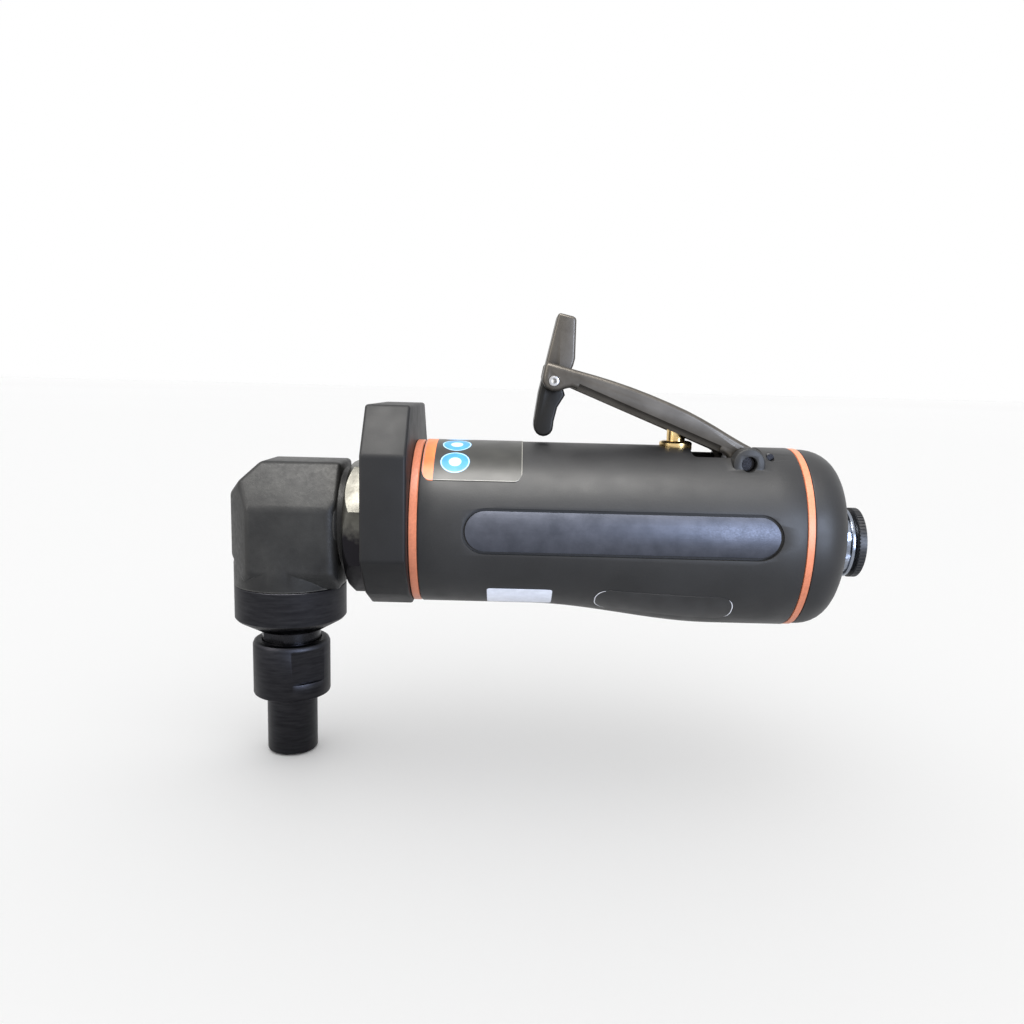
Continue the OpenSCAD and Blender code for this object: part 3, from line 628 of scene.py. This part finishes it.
def build_grip():
    h = AXIS_H
    inset = [(34.82, 20.25), (35.0, 20.5)]
    stations = [(x, r, r, 1.0) for x, r in inset]
    stations += [(x, *egg(x)) for x in (35.3, 45, 56, 62, 65, 68, 71, 74, 77, 80, 83, 86, 89, 92, 95, 98, 101,
                                        104, 108, 114, 120, 126.1)]
    stations += [(126.4, 20.45, 24.5, 0.78), (126.5, 20.2, 24.25, 0.78)]
    grip = loft("grip_moulded", stations)
    for side in (1, -1):
        boss = turned("boss", "Y", PIVOT, (
            (side * 9.3, 3.9), (side * 12.2, 3.9), (side * 12.65, 3.72), (side * 12.8, 3.4)), 48)
        carve(grip, boss, kind="UNION")
    slot = block("slot", (101, -9, h + 12.8), (118.4, 9, h + 26))
    soften(slot, 1.2, 3)
    bore = turned("bore", "X", AXIS, ((30, 17.6), (130, 17.6)))
    pin = turned("pin", "Y", PIVOT, ((-20, 1.9), (20, 1.9)), 32)
    roll = turned("roll", "Y", Vector((119.9, 0, h + 18.8)), ((-14, 0.9), (14, 0.9)), 24)
    valve = turned("valve", "Z", STEM, ((10, 3.5), (19.55, 3.5), (19.55, 4.15), (30, 4.15)), 48)
    vent = block("vent", (104, -6.5, h - 20.8), (128, 6.5, h - 14.8))
    carve(grip, bore, slot, pin, roll, valve, vent)
    plate = stadium("plate", 75.6, 11, 0.6)
    shell = turned("shell", "X", AXIS, ((40, 19.7), (40, 24), (128, 24), (128, 19.7)), closed=True)
    carve(plate, shell, kind="INTERSECT")
    carve(grip, plate)
    soften(grip, 0.16, 2, 40)
    keep(grip, "housing", "grip_composite", "grip_sleeve")


def build_nameplate():
    inlay = stadium("nameplate_inlay", 74.2, 9.6, 0.6)
    shell = turned("shell", "X", AXIS, ((40, 19.72), (40, 20.3), (128, 20.3), (128, 19.72)), 192, closed=True)
    carve(inlay, shell, kind="INTERSECT")
    soften(inlay, 0.12, 2, 40)
    keep(inlay, "housing", "plate_foil", "nameplate")


def stadium(name, length, height, z):
    """A long rounded bar standing out of the near side of the grip."""
    bar = block(name, (PLATE_X - length / 2, -25, AXIS_H + z - height / 2),
                (PLATE_X + length / 2, -15, AXIS_H + z + height / 2))
    return round_corners(bar, 1, height / 2 * 0.995, 14)


def build_rear_ring():
    ring = loft("rear_ring_moulded", ((126.56, 20.25, 24.3, 0.78), (126.7, 20.5, 24.6, 0.78),
                                       (128.15, 20.5, 24.6, 0.78), (128.34, 20.25, 24.3, 0.78)))
    carve(ring, turned("bore", "X", INLET, ((120, 12), (130, 12))))
    keep(smooth(ring), "housing", "orange_ring", "rear_ring")


def build_rear_cap():
    stations = [(128.4, 20.1, 24.15, 0.78), (128.55, 20.3, 24.4, 0.78)]
    for i in range(13):
        a = math.radians(90 * i / 12)
        drop = 10.3 * (1 - max(math.cos(a), 0.0) ** 0.85)
        stations.append((128.8 + 9.9 * math.sin(a) ** 0.85, 20.3 - drop, 24.4 - drop * (1.0 + 0.25 * i / 12),
                         0.78 + 0.2 * i / 12))
    stations.append((139.0, 9.2, 10.6, 1.0))
    cap = loft("rear_cap_moulded", stations)
    tools = [turned("bore", "X", INLET, ((120, 7.95), (142, 7.95)), 64)]
    for y in (-6, -3, 0, 3, 6):
        tools.append(turned("port", "X", Vector((0, y, AXIS_H - 19)), ((120, 1.2), (142, 1.2)), 24))
    carve(cap, *tools)
    soften(cap, 0.15, 2, 40)
    keep(cap, "housing", "grip_composite", "rear_cap")


def build_inlet():
    hexagon = turned("hexagon", "X", INLET, ((139.05, 9.5), (141.5, 9.5)), sides=6, spin=math.radians(30))
    trim = turned("trim", "X", INLET, ((139.0, 8.7), (139.4, 8.95), (141.2, 8.95), (141.6, 8.5)))
    carve(hexagon, trim, kind="INTERSECT")
    rest = turned("rest", "X", INLET, (
        (119, 7.9), (139.2, 7.9), (139.2, 8.3), (141.4, 8.3), (141.7, 8.8), (142.4, 8.8), (142.8, 8.2),
        (142.9, 7.2), (145.2, 7.2)))
    carve(hexagon, rest, kind="UNION")
    carve(hexagon, turned("bore", "X", INLET, ((118, 4.6), (134.05, 4.6), (134.05, 5.7), (146, 5.7))))
    soften(hexagon, 0.15, 2, 30)
    hexagon.name = "inlet_bushing_turned"
    keep(hexagon, "housing", "inlet_metal", "inlet_bushing")


def build_swivel_ring():
    notches = 60
    grip_ring = turned("swivel_ring_knurled", "X", INLET, (
        (143.5, 7.26), (143.5, 8.6), (143.65, 8.9), (145.25, 8.9), (145.4, 8.65), (145.4, 7.26)),
        3 * notches, closed=True)
    for i in range(notches):
        a = math.radians(360 // notches * i)
        notch = block("notch", (143.35, -0.2, 8.68), (145.55, 0.2, 9.6))
        edit(notch)
        bpy.ops.transform.rotate(value=a, orient_axis="X", center_override=(0, 0, 0))
        bpy.ops.transform.translate(value=INLET * MM)
        settle("notch")
        carve(grip_ring, notch)
    keep(smooth(grip_ring, 30), "swivel", "black_ring", "swivel_ring")


def build_valve_bushing():
    bush = turned("valve_bushing_turned", "Z", STEM, (
        (10, 2.36), (10, 3.35), (19.6, 3.35), (19.6, 4.02), (19.75, 4.1), (21.3, 4.1), (21.6, 3.85),
        (21.8, 3.3), (21.8, 2.36)), 64, closed=True)
    keep(smooth(bush), "housing", "brass", "valve_bushing")


# ---------------------------------------------------------------- lever and latch

def lever_point(u, y, v):
    """A point given along the lever, across it and square to it."""
    c, s = math.cos(LEVER_TILT), math.sin(LEVER_TILT)
    return PIVOT + Vector((-u * c + v * s, y, u * s + v * c))


def latch_point(x, y, z):
    """A point given from the latch's rivet."""
    return LATCH + Vector((x, 0, z)) + Vector((0, y, 0))


# The lever's back from its tip to its pivot, as (along, square to it).
LEVER_TOP = (
    (54.6, 3.3), (50, 3.9), (46, 4.4), (42, 4.95), (38, 5.4), (33, 5.8), (28, 6.02), (23, 6.08), (18, 6.0),
    (14, 5.7), (10, 5.25), (6, 4.7), (2.6, 4.3), (0, 4.1))


def build_lever():
    eye = [(-1.6, 3.5), (-3.2, 1.9), (-3.8, 0), (-3.3, -1.8), (-2, -3.0), (0, -3.5), (2, -3.0), (3.4, -1.5),
           (4.8, -0.2)]
    below = [(6, 0), (30, 0), (46.3, 0), (47.6, -0.9), (48.8, -2.1), (50.4, -2.75), (52.2, -2.6),
             (53.4, -1.6), (53.9, -0.2)]
    outline = [lever_point(u, -8.5, v) for u, v in list(LEVER_TOP) + eye + below]
    lever = sheet("lever_pressed", outline, Vector((0, 17, 0)))
    soften(lever, 1.1, 5, 60)
    wall = 1.4
    roof = [(u, v - wall) for u, v in LEVER_TOP[1:-1]]
    deep = [(60, 5)] + roof + [(-0.6, 2.6), (-6, 2.3), (-6, -6), (60, -6)]
    room = sheet("room", [lever_point(u, -7.1, v) for u, v in deep], Vector((0, 14.2, 0)))
    front = sheet("front", [lever_point(u, -7.1, v) for u, v in ((45.5, 8), (45.5, -5), (60, -5), (60, 8))],
                  Vector((0, 14.2, 0)))
    tools = [room, front]
    tuck = ((9.2, 2.0), (9.2, -1.5), (7.35, -1.5), (7.6, 0.6), (8.45, 1.5))
    for side in (1, -1):
        tools.append(sheet("tuck", [lever_point(7, side * y, v) for y, v in tuck],
                           lever_point(45, 0, 0) - lever_point(7, 0, 0)))
    tools.append(turned("pin", "Y", PIVOT, ((-12, 1.7), (12, 1.7)), 32))
    tools.append(turned("rivet", "Y", LATCH, ((-12, 1.3), (12, 1.3)), 32))
    carve(lever, *tools)
    soften(lever, 0.18, 2, 40)
    keep(lever, "lever", "lever_black", "throttle_lever")


def build_latch():
    tip = [(-2.1 + 2.4 * math.cos(math.radians(a)), -11.2 + 2.4 * math.sin(math.radians(a)))
           for a in (0, -22, -45, -67, -90, -113, -135, -158, -180)]
    shape = [(0.8, 16.5), (4.4, 15.7), (5.0, 15.3), (5.2, 14.8), (5.2, 5.6), (4.8, 3.9), (2.4, -1.6),
             (3, -3.4), (1.2, -6.4), (0.4, -9.9)] + tip + [(-4.5, -9.9), (-3.5, -2.8), (-1.75, 5)]
    latch = sheet("latch_pressed", [latch_point(x, -5.6, z) for x, z in shape], Vector((0, 11.2, 0)))
    soften(latch, 0.7, 4, 60)
    inner = [(2.1, 18), (-0.5, 5), (-2.2, -2.8), (-3.2, -9.3), (9, -9.3), (9, 18)]
    carve(latch, sheet("inner", [latch_point(x, -4.4, z) for x, z in inner], Vector((0, 8.8, 0))),
          turned("rivet", "Y", LATCH, ((-12, 1.35), (12, 1.35)), 32),
          turned("relief", "Y", LATCH, ((-4.2, 2.2), (4.2, 2.2)), 48))
    soften(latch, 0.18, 2, 40)
    keep(latch, "latch", "latch_black", "safety_latch")


def build_latch_rivet():
    rivet = turned("latch_rivet_headed", "Y", LATCH, (
        (-8.95, 0.62), (-8.98, 0.95), (-8.9, 1.2), (-8.7, 1.28), (8.7, 1.28), (8.9, 1.2), (8.98, 0.95),
        (8.95, 0.62)), 48, closed=True)
    keep(smooth(rivet), "lever", "ground_steel", "latch_rivet")


def build_spring():
    """The return spring as a coil of wire."""
    low = Vector((STEM.x, 0, AXIS_H - 12.5))
    fresh()
    bpy.ops.mesh.primitive_circle_add(vertices=16, radius=0.4 * MM, location=(low + Vector((2.6, 0, 0))) * MM,
                                      rotation=(math.pi / 2, 0, 0))
    bpy.ops.object.transform_apply(location=True, rotation=True, scale=True)
    coil = bpy.context.object
    bpy.context.scene.cursor.location = low * MM
    bpy.ops.object.origin_set(type="ORIGIN_CURSOR")
    bpy.context.scene.cursor.location = (0, 0, 0)
    step = coil.modifiers.new("coil", "SCREW")
    step.axis = "Z"
    step.screw_offset = 1.86 * MM
    step.iterations = 5
    step.steps = 36
    step.use_merge_vertices = False
    bpy.ops.object.modifier_apply(modifier=step.name)
    bpy.ops.object.mode_set(mode="EDIT")
    bpy.ops.mesh.select_all(action="SELECT")
    bpy.ops.mesh.fill_holes(sides=0)
    coil = smooth(settle("valve_spring_coil"))
    keep(coil, "housing", "spring_steel", "valve_spring")
    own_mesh(coil)


# ---------------------------------------------------------------- labels

def window(x0, x1, half_width, corner, angle):
    """A rounded block that cuts a film out of a skin, at an angle above the near side."""
    flat = round_corners(block("window", (x0, -half_width, 0), (x1, half_width, 30)), 2, corner, 8)
    edit(flat)
    bpy.ops.transform.rotate(value=-(math.pi / 2 - angle), orient_axis="X", center_override=(0, 0, 0))
    bpy.ops.transform.translate(value=AXIS * MM)
    return settle("window")


def film(name, x0, x1, a0, a1, radius, corner):
    """A thin film on the round grip between two stations and two angles above the near side."""
    outer = radius + 0.11
    skin = turned(name, "X", AXIS, ((x0, radius), (x0, outer), (x1, outer), (x1, radius)), 240, closed=True)
    half_width = math.sin(math.radians(a1 - a0) / 2) * radius
    carve(skin, window(x0, x1, half_width, corner, math.radians((a0 + a1) / 2)), kind="INTERSECT")
    return smooth(skin)


def build_labels():
    front = film("front_label_film", 35.3, 59.4, 35.5, 144.5, 20.62, 2.0)
    keep(front, "housing", "label_film", "front_label")
    small = film("data_label_film", 51.4, 67.3, -68, -43.5, 20.62, 0.6)
    keep(small, "housing", "sticker", "data_label")


def swollen(x, lift):
    """Section of the grip at x, lifted off its surface."""
    radius, low, foot = egg(x)
    return x, radius + lift, low + lift, foot


def build_rating_label():
    spans = [72 + 3 * i for i in range(16)]
    skin = loft("rating_label_film", [swollen(x, 0.1) for x in spans], 36)
    carve(skin, loft("core", [swollen(x, 0.005) for x in [71] + spans + [118]], 36))
    carve(skin, window(77.5, 111.5, 4.4, 4.0, math.radians(-52)), kind="INTERSECT")
    keep(smooth(skin), "housing", "rating_label")


for build in (build_head, build_bearing_cap, build_collet_nut, build_clamp_nut, build_guard, build_front_ring,
              build_grip, build_nameplate, build_rear_ring, build_rear_cap, build_inlet, build_swivel_ring,
              build_valve_bushing, build_lever, build_latch, build_latch_rivet, build_labels,
              build_rating_label, build_spring):
    build()
fresh()

# ---------------------------------------------------------------- stage

def stage():
    bpy.ops.object.select_all(action="DESELECT")
    bpy.ops.mesh.primitive_plane_add(size=1, location=(0.07, 0.0, 0.0))
    floor = bpy.context.object
    floor.name = "floor"
    floor.scale = (40, 40, 1)
    finish = Finish("floor", (0.93, 0.93, 0.93), 0.6, spec=0.15)
    finish.paint(finish.ramp(finish.noise(120, 2), [(0.3, 0.96), (0.7, 0.985)]))
    floor.data.materials.append(finish.mat)

    scene = bpy.context.scene
    scene.view_settings.view_transform = "Standard"
    world = bpy.data.worlds.new("studio")
    scene.world = world
    world.use_nodes = True
    sky = world.node_tree.nodes["Background"]
    sky.inputs[0].default_value = (1.0, 1.0, 1.0, 1)
    sky.inputs[1].default_value = 1.0

    # The lamps light the tool alone, so the floor stays even.
    lit = bpy.data.collections.new("lit_by_lamps")
    for piece in list(bpy.data.objects):
        if piece.type == "MESH" and piece is not floor:
            lit.objects.link(piece)

    def panel(name, at, aim, size, watts, colour=(1, 1, 1)):
        data = bpy.data.lights.new(name, "AREA")
        data.shape = "RECTANGLE"
        data.size, data.size_y = size
        data.energy = watts
        data.color = colour
        lamp = bpy.data.objects.new(name, data)
        bpy.context.collection.objects.link(lamp)
        lamp.location = at
        lamp.rotation_euler = (Vector(aim) - Vector(at)).to_track_quat("-Z", "Y").to_euler()
        lamp.light_linking.receiver_collection = lit

    middle = (0.06, 0, 0.06)
    panel("key", (-0.02, -0.24, 0.62), middle, (0.55, 0.3), 9, (1.0, 0.98, 0.94))
    panel("strip", (0.42, -0.5, 0.06), middle, (0.15, 0.5), 7, (0.66, 0.77, 1.0))
    panel("left", (-0.5, -0.35, 0.3), middle, (0.25, 0.4), 2, (1.0, 0.97, 0.92))


def camera():
    data = bpy.data.cameras.new("camera")
    data.sensor_width = 36
    data.lens = 30.35
    data.clip_start = 0.01
    cam = bpy.data.objects.new("camera", data)
    bpy.context.collection.objects.link(cam)
    pitch, yaw, roll = math.radians(8.365), 0.001, math.radians(1.41)
    right = Vector((math.cos(yaw), math.sin(yaw), 0))
    ahead = Vector((-math.sin(yaw) * math.cos(pitch), math.cos(yaw) * math.cos(pitch), -math.sin(pitch)))
    up = right.cross(ahead)
    cam_right = right * math.cos(roll) + up * math.sin(roll)
    cam_up = up * math.cos(roll) - right * math.sin(roll)
    turn = Matrix((cam_right, cam_up, -ahead)).transposed().to_4x4()
    cam.matrix_world = Matrix.Translation(mm(57.27, -219.6, AXIS_H + 34.76)) @ turn
    bpy.context.scene.camera = cam


stage()
camera()
